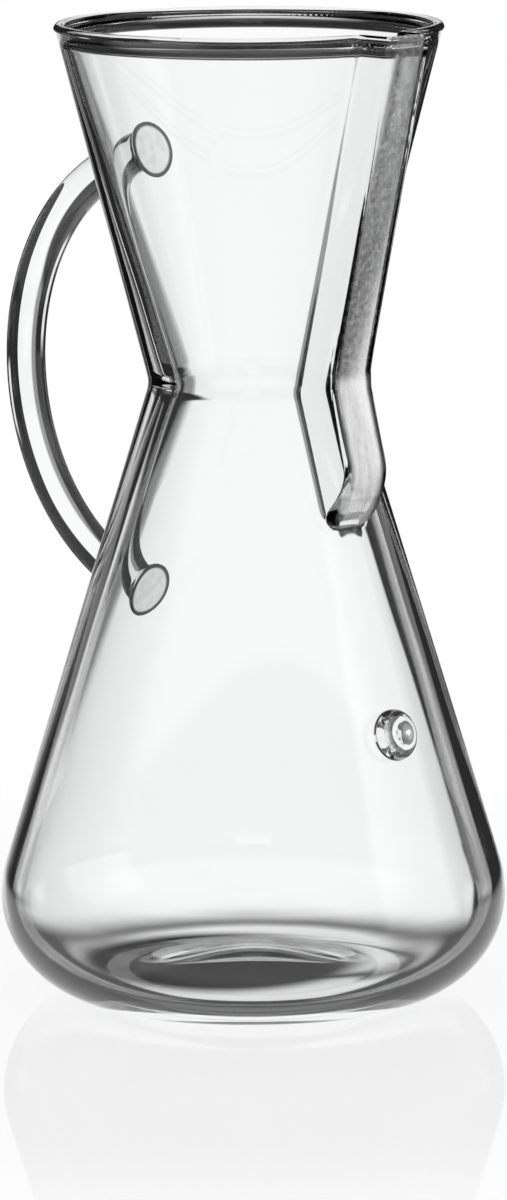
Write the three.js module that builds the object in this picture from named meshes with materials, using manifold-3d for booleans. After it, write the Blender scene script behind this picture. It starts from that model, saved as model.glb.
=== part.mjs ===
// Pour-over coffee maker: a blown glass hourglass with a hollow pouring channel, a rod handle
// sealed to its back and a small level button under the spout.
// Millimetres, +Z up. The spout points along +X and the handle along -X.
import * as THREE from 'three';
import { mergeVertices } from 'three/addons/utils/BufferGeometryUtils.js';
import Module from 'manifold-3d';

const wasm = await Module();
wasm.setup();

// Vessel, measured on the outside of the glass
const totalHeight = 210;
const mouthRadius = 41.1;
const waistRadius = 22;
const waistHeight = 133.2;
const waistCurve = 6.5;
const bellyRadius = 54.7;
const heelCurve = 22;

// Glass thickness: blowing thins the wall where the vessel is wide
const bellyWall = 2.8;
const waistWall = 4.4;
const rimWall = 1.9;
const hollowShift = 1;
const baseThickness = 3.6;
const rimBead = 2.7;

// Pushed-up base
const puntRadius = 27.5;
const puntHeight = 5;

// Pouring channel: a box-shaped bulge of the wall, from the lip to a rounded end below the waist
const channelMouthWidth = 12.4;
const channelWaistWidth = 11.6;
const channelMouthDepth = 7.4;
const channelWaistDepth = 8.8;
const channelFootDepth = 9.8;
const channelWall = 1.2;
const channelCorner = 1.1;
const channelHollowCorner = 0.3;
const channelFillet = 1.4;
const channelEdge = 2.6;
const channelBendCurve = 0.5;
const channelEndCurve = 4;

// Rise from the waist to the bend in the channel's front, and drops to where its lower end begins
// and to where it meets the wall
const channelBendRise = 3.5;
const channelFootDrop = 13.2;
const channelEndDrop = 28.7;

// Handle: a rod bent to an arc, measured to the rod's centre line
const rodDiameter = 8.7;
const handleReach = 72.4;
const handleCurve = 48.6;
const handleDrop = 1.6;

// Flared glass seals at the rod's two ends
const sealDiameter = 12.4;
const sealEdge = 1.3;
const sealLength = 5;

// Level button: a raised ring around a shallow dimple
const buttonDiameter = 11;
const buttonEdge = 1;
const buttonRise = 3;
const buttonCrest = 3;
const buttonDimple = 0.9;
const buttonHeight = 62;

// Clearance left between neighbouring pieces, and how far a seated piece starts inside the wall
const sealGap = 0.3;
const seatDepth = 4;

// Mesh fineness
const channelPoints = 44;
const channelSamples = 8;
const roundPoints = 32;
const puntSteps = 4;
const heelSteps = 7;
const flaskSteps = 2;
const footSteps = 10;
const waistSteps = 4;
const bendSteps = 3;
const funnelSteps = 4;
const beadSteps = 6;
const roundSegments = 28;
const seatSegments = 112;
const rodSides = 20;
const rodSteps = 30;
const curveSteps = 6;

const glassLook = { color: 0xe9efec, roughness: 0.06, metalness: 0 };

// Value between low and high where a falling function crosses zero
function solveFalling(fall, low, high) {
  for (let step = 0; step < 48; step += 1) {
    const middle = (low + high) / 2;
    if (fall(middle) > 0) {
      low = middle;
    } else {
      high = middle;
    }
  }
  return (low + high) / 2;
}

// Outside outline of the vessel: heel arc, flask cone, waist arc and funnel cone, each tangent to the next
const rimHeight = totalHeight - rimBead / 2;
const heelCentre = bellyRadius - heelCurve;
const waistCentre = waistRadius + waistCurve;
const flaskLean = leanBetween(heelCentre, heelCurve, waistCentre, waistHeight);
const funnelLean = leanToPoint(mouthRadius, rimHeight);
const heelTop = heelCurve + heelCurve * Math.sin(flaskLean);
const waistBottom = waistHeight - waistCurve * Math.sin(flaskLean);
const waistTop = waistHeight + waistCurve * Math.sin(funnelLean);

// Lean from upright of the line that touches the heel arc and the waist arc on opposite sides
function leanBetween(heelX, heelZ, waistX, waistZ) {
  const rise = waistZ - heelZ;
  const spread = heelX - waistX;
  const distance = Math.hypot(rise, spread);
  return Math.asin((heelCurve + waistCurve) / distance) + Math.atan2(spread, rise);
}

// Lean from upright of the line from the waist arc to the mouth
function leanToPoint(mouthX, mouthZ) {
  const rise = mouthZ - waistHeight;
  const spread = mouthX - waistCentre;
  const distance = Math.hypot(rise, spread);
  return Math.asin(waistCurve / distance) + Math.atan2(spread, rise);
}

function outerRadius(z) {
  if (z < heelTop) {
    return heelCentre + Math.sqrt(Math.max(0, heelCurve ** 2 - (heelCurve - z) ** 2));
  }
  if (z < waistBottom) {
    return waistCentre - waistCurve * Math.cos(flaskLean) + (waistBottom - z) * Math.tan(flaskLean);
  }
  if (z < waistTop) {
    return waistCentre - Math.sqrt(waistCurve ** 2 - (z - waistHeight) ** 2);
  }
  return waistCentre - waistCurve * Math.cos(funnelLean) + (z - waistTop) * Math.tan(funnelLean);
}

// How near a height is to the waist: 1 at the waist, and 0 at the rim and at the belly
function waistNearness(z) {
  if (z > waistHeight) {
    return (rimHeight - z) / (rimHeight - waistHeight);
  }
  return ((bellyRadius - outerRadius(z)) / (bellyRadius - waistRadius)) ** 2;
}

// Thickness of the wall measured level, at a height above the heel
function levelWall(z) {
  const belowWaist = z < waistHeight;
  const wideWall = belowWaist ? bellyWall : rimWall;
  const thickness = THREE.MathUtils.lerp(wideWall, waistWall, waistNearness(z));
  return thickness / Math.cos(belowWaist ? flaskLean : funnelLean);
}

// How far the hollow's middle lies from the axis, towards the channel
function hollowOffset(z) {
  return hollowShift * waistNearness(z);
}

const channelBendHeight = waistHeight + channelBendRise;
const channelFootHeight = waistHeight - channelFootDrop;
const channelEndHeight = waistHeight - channelEndDrop;
const rimFront = mouthRadius + channelMouthDepth;
const bendFront = waistRadius + channelWaistDepth;
const footFront = outerRadius(channelFootHeight) + channelFootDepth;

// Reach of the channel's front from the axis: two straight lines with a rounded bend between them
function channelFront(z) {
  const funnelRun = (z - channelBendHeight) / (rimHeight - channelBendHeight);
  const flaskRun = (channelBendHeight - z) / (channelBendHeight - channelFootHeight);
  const funnel = (rimFront - bendFront) * funnelRun;
  const flask = (footFront - bendFront) * flaskRun;
  return bendFront + (funnel + flask) / 2 + Math.hypot((funnel - flask) / 2, channelBendCurve);
}

// Channel sizes at a height: its width, its depth out of the wall and how much of that depth is left
function channelAt(z) {
  const { clamp, lerp } = THREE.MathUtils;
  const above = clamp((z - waistHeight) / (rimHeight - waistHeight), 0, 1);
  const fade = clamp((channelFootHeight - z) / (channelFootHeight - channelEndHeight), 0, 1);
  const tip = 1 - clamp((z - channelEndHeight) / channelEndCurve, 0, 1);
  const taper = channelEndCurve * (1 - Math.sqrt(1 - tip ** 2));
  return {
    halfWidth: lerp(channelWaistWidth, channelMouthWidth, above) / 2 - taper,
    depth: channelFront(z) - outerRadius(z),
    left: Math.cos(fade * Math.PI / 2),
  };
}

// Distance from a level section, a shifted circle and a slot joined by a fillet, each drawn in by its wall.
// At the channel's faded end the slot lies one fillet inside the circle, where it no longer shows.
function sectionDistance(x, y, z, shift, inset, slotInset, slotCorner, fillet) {
  const radius = outerRadius(z) - inset;
  const channel = channelAt(z);
  const halfWidth = channel.halfWidth - slotInset;
  const rise = (channel.depth + inset - slotInset + fillet) * channel.left - fillet;
  const round = Math.hypot(x - shift, y) - radius;
  const corner = Math.min(slotCorner, halfWidth);
  const halfReach = (radius + rise) / 2;
  const beyondX = Math.abs(x - halfReach) - halfReach + corner;
  const beyondY = Math.abs(y) - halfWidth + corner;
  const outside = Math.hypot(Math.max(beyondX, 0), Math.max(beyondY, 0));
  const slot = outside + Math.min(Math.max(beyondX, beyondY), 0) - corner;
  const nearRound = Math.max(fillet - round, 0);
  const nearSlot = Math.max(fillet - slot, 0);
  return Math.max(fillet, Math.min(round, slot)) - Math.hypot(nearRound, nearSlot);
}

// Distance from the surface at a share of the wall's thickness: 0 is the outside and 1 is the inside
function wallDistance(x, y, z, share) {
  const wall = levelWall(z);
  const outer = sectionDistance(x, y, z, 0, 0, 0, channelCorner, channelFillet);
  const inner = sectionDistance(x, y, z, hollowOffset(z), wall, channelWall, channelHollowCorner, channelEdge);
  return THREE.MathUtils.lerp(outer, inner, share);
}

// Distance from the axis to that surface at one angle, with any bulge beyond the wall
function sectionReach(angle, z, share, bulge) {
  const x = Math.cos(angle);
  const y = Math.sin(angle);
  const farthest = bellyRadius + mouthRadius;
  return solveFalling((r) => bulge - wallDistance(r * x, r * y, z, share), 0, farthest);
}

// Half angle of the sector that holds the channel, with as much plain wall again on either side
const channelSector = 2 * Math.asin(channelWaistWidth / 2 / waistRadius);

// Points of the section at height z, evenly spaced along the channel and evenly round the rest
function sectionPoints(z, share, bulge) {
  const fine = [];
  for (const angle of evenSteps(-channelSector, channelSector, channelPoints * channelSamples)) {
    const reach = sectionReach(angle, z, share, bulge);
    fine.push(new THREE.Vector2(reach * Math.cos(angle), reach * Math.sin(angle)));
  }
  const points = new THREE.Path(fine).getSpacedPoints(channelPoints);
  const radius = outerRadius(z) - share * levelWall(z) + bulge;
  const shift = share * hollowOffset(z);
  const rest = evenSteps(channelSector, 2 * Math.PI - channelSector, roundPoints);
  for (const angle of rest.slice(1, -1)) {
    points.push(new THREE.Vector2(radius * Math.cos(angle) + shift, radius * Math.sin(angle)));
  }
  return points;
}

const footPoints = sectionPoints(0, 0, 0);

// A plain level circle with the same number of points
function circlePoints(radius) {
  return footPoints.map((point) => point.clone().setLength(radius));
}

// Height of the pushed-up base above its foot ring
function puntRise(radius) {
  return puntHeight * (1 + Math.cos(Math.PI * Math.min(radius / puntRadius, 1))) / 2;
}

function evenSteps(from, to, count) {
  return Array.from({ length: count + 1 }, (_, i) => from + (to - from) * i / count);
}

// Heights of the level rings up the wall, closer where the outline bends
function wallHeights(bottom) {
  return [
    ...evenSteps(bottom, channelEndHeight, flaskSteps),
    ...evenSteps(channelEndHeight, channelFootHeight, footSteps).slice(1),
    ...evenSteps(waistBottom, waistTop, waistSteps),
    ...evenSteps(waistTop, channelBendHeight + channelBendRise, bendSteps).slice(1),
    ...evenSteps(channelBendHeight + channelBendRise, rimHeight, funnelSteps).slice(1),
  ];
}

// Rings of the closed wall: under the base, up the outside, over the rim bead and down the inside
function bodyRings() {
  const rings = [];
  const addRing = (points, z) => rings.push(points.map((p) => new THREE.Vector3(p.x, p.y, z)));
  for (const radius of evenSteps(0, puntRadius, puntSteps).slice(1)) {
    addRing(circlePoints(radius), puntRise(radius));
  }
  for (const turn of evenSteps(0, Math.PI / 2 + flaskLean, heelSteps)) {
    const z = heelCurve * (1 - Math.cos(turn));
    addRing(circlePoints(heelCentre + heelCurve * Math.sin(turn)), z);
  }
  const outerHeights = wallHeights(heelTop).slice(1);
  outerHeights.forEach((z) => addRing(sectionPoints(z, 0, 0), z));
  const halfWall = levelWall(rimHeight) / 2;
  for (const turn of evenSteps(0, Math.PI, beadSteps)) {
    const out = rimBead / 2 * Math.cos(turn);
    const held = THREE.MathUtils.clamp(out, -halfWall, halfWall);
    const share = (1 - held / halfWall) / 2;
    addRing(sectionPoints(rimHeight, share, out - held), rimHeight + rimBead / 2 * Math.sin(turn));
  }
  const innerCurve = heelCurve - bellyWall;
  const innerDrop = heelCurve - baseThickness;
  const innerTop = heelCurve + innerCurve * Math.sin(flaskLean);
  const innerHeights = wallHeights(innerTop).slice(1).reverse();
  innerHeights.forEach((z) => addRing(sectionPoints(z, 1, 0), z));
  for (const turn of evenSteps(Math.PI / 2 + flaskLean, 0, heelSteps)) {
    const drop = turn < Math.PI / 2 ? innerDrop : innerCurve;
    addRing(circlePoints(heelCentre + innerCurve * Math.sin(turn)), heelCurve - drop * Math.cos(turn));
  }
  for (const radius of evenSteps(puntRadius, 0, puntSteps).slice(0, -1)) {
    addRing(circlePoints(radius), baseThickness + puntRise(radius));
  }
  return rings;
}

// Closed skin over a stack of rings, with a pole at each end
function skinRings(rings, firstPole, lastPole) {
  const count = rings[0].length;
  const points = [firstPole, ...rings.flat(), lastPole];
  const lastRing = 1 + (rings.length - 1) * count;
  const index = [];
  for (let j = 0; j < count; j += 1) {
    const next = (j + 1) % count;
    index.push(0, 1 + next, 1 + j);
    for (let start = 1; start < lastRing; start += count) {
      index.push(start + j, start + next, start + count + next);
      index.push(start + j, start + count + next, start + count + j);
    }
    index.push(lastRing + j, lastRing + next, points.length - 1);
  }
  const geometry = new THREE.BufferGeometry().setFromPoints(points);
  geometry.setIndex(index);
  return geometry;
}

function bodyGeometry() {
  const under = new THREE.Vector3(0, 0, puntHeight);
  const floor = new THREE.Vector3(0, 0, puntHeight + baseThickness);
  return skinRings(bodyRings(), under, floor);
}

// Solid that fills the vessel's plain outline and a gap around it, for seating what is sealed to the wall
function seatGeometry() {
  const profile = [new THREE.Vector2(0, 0)];
  for (const z of wallHeights(heelTop)) {
    profile.push(new THREE.Vector2(outerRadius(z) + sealGap, z));
  }
  profile.push(new THREE.Vector2(0, rimHeight));
  return new THREE.LatheGeometry(profile, seatSegments).rotateX(Math.PI / 2);
}

function toSolid(geometry) {
  const bare = geometry.clone();
  bare.deleteAttribute('normal');
  bare.deleteAttribute('uv');
  const merged = mergeVertices(bare);
  return new wasm.Manifold(new wasm.Mesh({
    numProp: 3,
    vertProperties: new Float32Array(merged.attributes.position.array),
    triVerts: new Uint32Array(merged.index.array),
  }));
}

function fromSolid(solid) {
  const mesh = solid.getMesh();
  const geometry = new THREE.BufferGeometry();
  geometry.setAttribute('position', new THREE.BufferAttribute(mesh.vertProperties, 3));
  geometry.setIndex(new THREE.BufferAttribute(mesh.triVerts, 1));
  return geometry;
}

// A turned piece whose axis runs from a point on the wall along a direction, trimmed to the wall
function seatedGeometry(profile, point, direction) {
  const turned = new THREE.LatheGeometry(profile, roundSegments);
  const upright = new THREE.Vector3(0, 1, 0);
  turned.applyQuaternion(new THREE.Quaternion().setFromUnitVectors(upright, direction));
  turned.translate(point.x, point.y, point.z);
  return fromSolid(toSolid(turned).subtract(toSolid(seatGeometry())));
}

// The handle's centre line in the plane behind the body, by its angle above the level
const handleCentre = handleReach - handleCurve;
const handleMiddleHeight = waistHeight - handleDrop;

function handlePoint(angle) {
  const out = handleCentre + handleCurve * Math.cos(angle);
  return new THREE.Vector3(-out, 0, handleMiddleHeight + handleCurve * Math.sin(angle));
}

// Angle at which the centre line meets the wall, above the middle (side 1) or below it (side -1)
function handleWallAngle(side) {
  const clearOfWall = (angle) => {
    const point = handlePoint(side * angle);
    return -point.x - outerRadius(point.z);
  };
  return side * solveFalling(clearOfWall, 0, Math.PI);
}

class HandleArc extends THREE.Curve {
  constructor(from, to) {
    super();
    this.from = from;
    this.to = to;
  }

  getPoint(t, target = new THREE.Vector3()) {
    return target.copy(handlePoint(THREE.MathUtils.lerp(this.from, this.to, t)));
  }
}

function rodGeometry() {
  const setBack = (sealLength + sealGap) / handleCurve;
  const path = new HandleArc(handleWallAngle(1) - setBack, handleWallAngle(-1) + setBack);
  const section = new THREE.Shape().absarc(0, 0, rodDiameter / 2, 0, 2 * Math.PI);
  return new THREE.ExtrudeGeometry(section, {
    steps: rodSteps,
    curveSegments: rodSides / 2,
    bevelEnabled: false,
    extrudePath: path,
  });
}

// Half section of a seal: a disc edge against the wall, then a hollow flare up to the rod
function sealProfile() {
  const outer = sealDiameter / 2;
  const inner = rodDiameter / 2;
  const flare = new THREE.QuadraticBezierCurve(
    new THREE.Vector2(outer, sealEdge),
    new THREE.Vector2(inner, sealEdge),
    new THREE.Vector2(inner, sealLength),
  );
  return [
    new THREE.Vector2(0, -seatDepth),
    new THREE.Vector2(outer, -seatDepth),
    ...flare.getPoints(curveSteps),
    new THREE.Vector2(0, sealLength),
  ];
}

// A seal's axis leaves the wall along the centre line's chord, so its end meets the rod squarely
function sealGeometry(side) {
  const wallAngle = handleWallAngle(side);
  const wallPoint = handlePoint(wallAngle);
  const rodEnd = handlePoint(wallAngle - side * sealLength / handleCurve);
  return seatedGeometry(sealProfile(), wallPoint, rodEnd.sub(wallPoint).normalize());
}

// Half section of the button: a rounded edge up to the raised ring, then the dimple
function buttonProfile() {
  const radius = buttonDiameter / 2;
  const shoulder = new THREE.QuadraticBezierCurve(
    new THREE.Vector2(radius, buttonEdge),
    new THREE.Vector2(radius, buttonRise),
    new THREE.Vector2(buttonCrest, buttonRise),
  );
  const dimple = evenSteps(buttonCrest, 0, curveSteps).slice(1).map((r) => {
    const sink = buttonDimple * (1 + Math.cos(Math.PI * r / buttonCrest)) / 2;
    return new THREE.Vector2(r, buttonRise - sink);
  });
  return [
    new THREE.Vector2(0, -seatDepth),
    new THREE.Vector2(radius, -seatDepth),
    ...shoulder.getPoints(curveSteps),
    ...dimple,
  ];
}

function buttonGeometry() {
  const point = new THREE.Vector3(outerRadius(buttonHeight), 0, buttonHeight);
  const outward = new THREE.Vector3(Math.cos(flaskLean), 0, Math.sin(flaskLean));
  return seatedGeometry(buttonProfile(), point, outward);
}

function glassPiece(name, geometry) {
  const piece = new THREE.Mesh(geometry, new THREE.MeshStandardMaterial(glassLook));
  piece.name = name;
  return piece;
}

// The vessel's axis stands off centre, so that the origin is under the middle of the whole object
const coffeeMaker = new THREE.Group();
coffeeMaker.add(
  glassPiece('glass_body', bodyGeometry()),
  glassPiece('handle_rod', rodGeometry()),
  glassPiece('upper_handle_seal', sealGeometry(1)),
  glassPiece('lower_handle_seal', sealGeometry(-1)),
  glassPiece('level_button', buttonGeometry()),
);
const extent = new THREE.Box3().setFromObject(coffeeMaker);
coffeeMaker.position.x = -(extent.min.x + extent.max.x) / 2;

const part = new THREE.Group();
part.add(coffeeMaker);

export default part;
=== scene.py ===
"""Glass finish for the pour-over coffee maker: a smooth blown vessel, its rod handle, its level button
and a plain white studio, laid out as an add-on and run as a script."""

import math

import bpy
import numpy as np
from bpy.props import FloatProperty, FloatVectorProperty, IntProperty, PointerProperty
from bpy.types import Operator, Panel, PropertyGroup
from mathutils import Matrix, Vector, noise


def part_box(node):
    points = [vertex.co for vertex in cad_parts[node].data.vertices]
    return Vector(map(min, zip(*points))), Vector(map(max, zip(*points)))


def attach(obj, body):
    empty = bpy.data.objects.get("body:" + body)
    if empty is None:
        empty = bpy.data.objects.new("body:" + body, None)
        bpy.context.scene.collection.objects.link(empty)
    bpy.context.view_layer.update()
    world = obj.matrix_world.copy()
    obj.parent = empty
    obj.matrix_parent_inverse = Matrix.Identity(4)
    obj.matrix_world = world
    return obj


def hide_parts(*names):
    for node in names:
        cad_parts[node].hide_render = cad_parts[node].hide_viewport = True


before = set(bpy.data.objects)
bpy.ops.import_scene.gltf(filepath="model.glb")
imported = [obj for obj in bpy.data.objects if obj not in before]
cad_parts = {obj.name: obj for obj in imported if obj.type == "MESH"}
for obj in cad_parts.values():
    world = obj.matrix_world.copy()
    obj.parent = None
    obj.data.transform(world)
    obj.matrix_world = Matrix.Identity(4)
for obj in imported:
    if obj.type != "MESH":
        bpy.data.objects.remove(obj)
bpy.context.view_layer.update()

bl_info = {
    "name": "Glass Coffee Maker",
    "version": (1, 0, 0),
    "blender": (4, 5, 0),
    "location": "View3D > Sidebar > Coffee Maker",
    "description": "Builds a blown glass pour-over coffee maker and a white studio around it",
    "category": "Object",
}

BODY_LOW, BODY_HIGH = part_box("glass_body")
MM = 0.001
BELLY_RADIUS = (BODY_HIGH[1] - BODY_LOW[1]) / 2
AXIS_X = (BODY_LOW[0] + BODY_HIGH[0]) / 2
PHOTO_HEIGHT = 1200
SOLVE_STEPS = 44
CHANNEL_FINENESS = 6
FLOOR_SIDES = 96

# Sealed ends of the rod and the button's outline.
SEAT_REACH = 20 * MM
SEAL_BLEND = 1.5
CAP_RINGS = 5
BUTTON_CREST = 0.55
BUTTON_RINGS = {"seat": 7, "dome": 13, "dimple": 11}

# Ripples in the glass: waves in each metre, how far they are drawn out upwards, and strength.
BLOWN_RIPPLE = {"scale": 55.0, "stretch": 0.35, "strength": 0.1}
DRAWN_RIPPLE = {"scale": 90.0, "stretch": 0.35, "strength": 0.05}
MOULD_RIPPLE = {"scale": 420.0, "stretch": 0.3}
RIPPLE_DEPTH = 0.4 * MM

# Grain of the glass, in grains for each metre. A pair is the two ends of a soft edge.
HAZE_GRAIN = 260.0
HAZE_RANGE = (0.62, 0.9)
HAZE_ROUGHNESS = 0.03
MILKY_ROUGHNESS = 0.4
STREAK_GRAIN = 700.0
STREAK_STRETCH = 0.15
STREAK_GAIN = 1.6
STREAK_BASE = 0.2
SPECK_GRAIN = 800.0
SPECK_RANGE = (0.4, 0.75)
BUBBLE_GRAIN = 520.0
BUBBLE_DEPTH = 0.5

# Where the finish lies: out of the wall, aside of the channel's middle, and above the waist.
FRONT_PROUD = (5.6 * MM, 6.8 * MM)
FRONT_ASIDE = (3.4 * MM, 4.6 * MM)
FRONT_UPPER = (2 * MM, 5 * MM)
FOOT_PROUD = (0.2 * MM, 0.8 * MM)
FOOT_LOW = -29.5 * MM
FOOT_LOW_SOFT = 1 * MM
FOOT_HIGH = -12 * MM
FOOT_HIGH_SOFT = 2 * MM
FOOT_SHARE = 0.6
SEAL_PROUD = (0.2 * MM, 0.7 * MM)
# Painted shade: the dark line round each sealed end lies between these shares of the seal's width.
SEAL_SHADE_LINE = (0.4, 0.45)

# The floor fades out by shares of its radius, and under the base it shows a painted black shadow to light
# that the glass bends.
FLOOR_FADE = (0.5, 0.95)
FLOOR_PAINTED_SHADOW = (26 * MM, 36 * MM)
FLOOR_ROUGHNESS = 0.04
FLOOR_IOR = 1.5

# The white card and table.
WHITE_STRENGTH = 0.98
CARD_MARGIN = 0.35
CARD_LEFT_SOFT = 0.12
CARD_RIGHT_SOFT = 0.03
CARD_TOP_SOFT = 0.05
SKIRT_STRENGTH = 0.3

# Sky and ground on the camera's side: soft edges in height, in degrees, and in how far back they lie.
SKY_RISE = (9.0, 17.0)
SKY_BEHIND = (-0.2, 0.5)
SKY_STRENGTH = 0.7
GROUND_RISE = (-38.0, -30.0)
GROUND_BEHIND = (0.0, 0.4)
GROUND_STRENGTH = 0.8

# The soft box behind the object that only outer faces mirror, in degrees.
MIRROR_HALF = 7.0
MIRROR_LOW = 3.0
MIRROR_LOW_SOFT = 2.0
MIRROR_HIGH = 32.0

# Panels: turn from straight behind the object, half width, lower and upper edge in degrees, and strength.
PANEL_SOFT = 3.0
PANELS = (
    (0.0, 5.0, -33.0, -20.0, 0.92),
    (-43.5, 6.0, -6.5, 6.0, 0.92),
    (46.5, 6.0, -6.5, 6.0, 0.92),
    (180.0, 9.0, -24.0, -6.0, 0.9),
    (95.0, 22.0, -10.0, 40.0, 0.9),
)


def length(name, description, default):
    """A size in metres that a user can change."""
    return FloatProperty(name=name, description=description, default=default, unit="LENGTH", precision=4)


def angle(name, description, degrees):
    """An angle that a user can change, given here in degrees."""
    return FloatProperty(name=name, description=description, default=math.radians(degrees), unit="ROTATION")


def colour(name, description, default):
    """A linear colour that a user can change."""
    return FloatVectorProperty(name=name, description=description, default=default,
                               subtype="COLOR", min=0, max=1)


def count(name, description, default):
    """A number of mesh steps that a user can change."""
    return IntProperty(name=name, description=description, default=default, min=4)


def share(name, description, default):
    """A plain factor that a user can change."""
    return FloatProperty(name=name, description=description, default=default, subtype="FACTOR")


class VesselSizes(PropertyGroup):
    """Sizes of the blown vessel, on the outside of the glass."""

    axis_x: length("Axis", "Where the vessel's axis stands along X", AXIS_X)
    height: length("Height", "Table to the top of the rim", BODY_HIGH[2])
    mouth_radius: length("Mouth radius", "Funnel wall at the rim", 41.1 * MM)
    waist_radius: length("Waist radius", "Narrowest place", 22 * MM)
    waist_height: length("Waist height", "Height of the narrowest place", 133.2 * MM)
    waist_curve: length("Waist curve", "Radius of the bend at the waist", 6.5 * MM)
    belly_radius: length("Belly radius", "Widest place", BELLY_RADIUS)
    heel_curve: length("Heel curve", "Radius of the rounded heel", 22 * MM)
    belly_wall: length("Belly wall", "Thickness of the wall at the belly", 2.8 * MM)
    waist_wall: length("Waist wall", "Thickness of the wall at the waist", 4.4 * MM)
    rim_wall: length("Rim wall", "Thickness of the wall under the rim", 1.9 * MM)
    hollow_shift: length("Hollow shift", "How far the hollow lies towards the channel at the waist", 1 * MM)
    base: length("Base", "Thickness of the base", 3.6 * MM)
    bead: length("Rim bead", "Thickness of the rounded rim", 2.7 * MM)
    punt_radius: length("Punt radius", "Radius of the pushed-up base", 27.5 * MM)
    punt_height: length("Punt height", "Rise of the pushed-up base", 5 * MM)
    ripple: length("Ripple", "Unevenness of the inside of the wall", 0.06 * MM)
    ripple_width: length("Ripple width", "Width of a ripple in the wall", 22 * MM)


class ChannelSizes(PropertyGroup):
    """Sizes of the hollow pouring channel."""

    mouth_width: length("Mouth width", "Width at the lip", 12.4 * MM)
    waist_width: length("Waist width", "Width at the waist and below", 11.6 * MM)
    mouth_depth: length("Mouth depth", "How far it stands out of the wall at the lip", 7.4 * MM)
    waist_depth: length("Waist depth", "How far it stands out at the waist", 8.8 * MM)
    foot_depth: length("Foot depth", "How far it stands out where its lower end begins", 9.8 * MM)
    wall: length("Wall", "Thickness of its wall", 1.2 * MM)
    corner: length("Corner", "Radius of its outer corners", 1.1 * MM)
    hollow: length("Hollow", "Radius of the corners of its hollow", 0.3 * MM)
    fillet: length("Fillet", "Radius where it meets the wall", 0.25 * MM)
    edge: length("Edge", "Radius where its hollow opens into the vessel", 1.9 * MM)
    bend_height: length("Bend height", "Where its front bends, a little above the waist", 136.7 * MM)
    bend_round: length("Bend rounding", "How softly its front bends", 0.5 * MM)
    foot_height: length("Foot height", "Where its lower end begins to run out", 120 * MM)
    end_height: length("End height", "Where its lower end meets the wall", 104.5 * MM)
    end_round: length("End rounding", "Radius of the lower end seen from the front", 4 * MM)


class HandleSizes(PropertyGroup):
    """Sizes of the rod handle, on the rod's centre line."""

    rod: length("Rod", "Diameter of the rod", 8.7 * MM)
    reach: length("Reach", "Vessel axis to the rod", 72.37 * MM)
    curve: length("Curve", "Radius of the bend", 48.6 * MM)
    middle_height: length("Middle height", "Height of the bend's centre", 131.6 * MM)
    seal: length("Seal", "Diameter of the flared ends", 12.4 * MM)
    seal_length: length("Seal length", "Length of the flare", 5 * MM)
    seat_gap: length("Seat gap", "Gap between a sealed piece and the wall", 0.03 * MM)


class ButtonSizes(PropertyGroup):
    """Sizes of the level button."""

    diameter: length("Diameter", "Width of the button", 11 * MM)
    rise: length("Rise", "How far it stands out of the wall", 3 * MM)
    dimple: length("Dimple", "Depth of its hollow", 0.9 * MM)
    height: length("Height", "Height of its middle", 62 * MM)


class MeshSteps(PropertyGroup):
    """Fineness of the meshes."""

    channel: count("Channel steps", "Points across the channel", 120)
    round: count("Round steps", "Points round the rest of the vessel", 170)
    flask: count("Flask steps", "Rings up the flask", 22)
    foot: count("Foot steps", "Rings over the channel's lower end", 28)
    waist: count("Waist steps", "Rings over the waist", 9)
    funnel: count("Funnel steps", "Rings up the funnel", 22)
    heel: count("Heel steps", "Rings round the heel", 26)
    punt: count("Punt steps", "Rings across the base", 16)
    bead: count("Bead steps", "Rings over the rim", 14)
    rod: count("Rod steps", "Rings along the rod", 160)
    rod_sides: count("Rod sides", "Points round the rod", 48)


class GlassLooks(PropertyGroup):
    """Colour and finish of the glass."""

    tint: colour("Tint", "Surface tint of the glass", (0.996, 0.999, 0.998))
    depth_tint: colour("Depth tint", "Colour that thick glass takes on", (0.72, 0.86, 0.8))
    depth_density: FloatProperty(name="Depth density", description="Absorption for each metre", default=3.0)
    ior: FloatProperty(name="IOR", description="Refraction of borosilicate glass", default=1.473)
    mottle: share("Mottle", "Depth of the moulding ripple on the channel", 0.1)
    frost: share("Frost", "Roughness of the channel's front", 0.25)
    shade: share("Shade", "Share of unbent light that one surface lets through", 0.95)
    haze: share("Haze", "Cloudiness of the channel's front below the waist", 0.35)
    specks: share("Specks", "Cloudiness of the specks on the channel's front above the waist", 0.15)
    cloud: share("Cloud", "Cloudiness of the sealed ends of the rod", 0.95)
    # Painted shade: near-black colour of the line round each sealed end, where the side of its flare looks
    # dark.
    painted_seal_shade: colour("Seal edge", "Colour of the line round a sealed end", (0.06, 0.065, 0.06))


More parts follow.
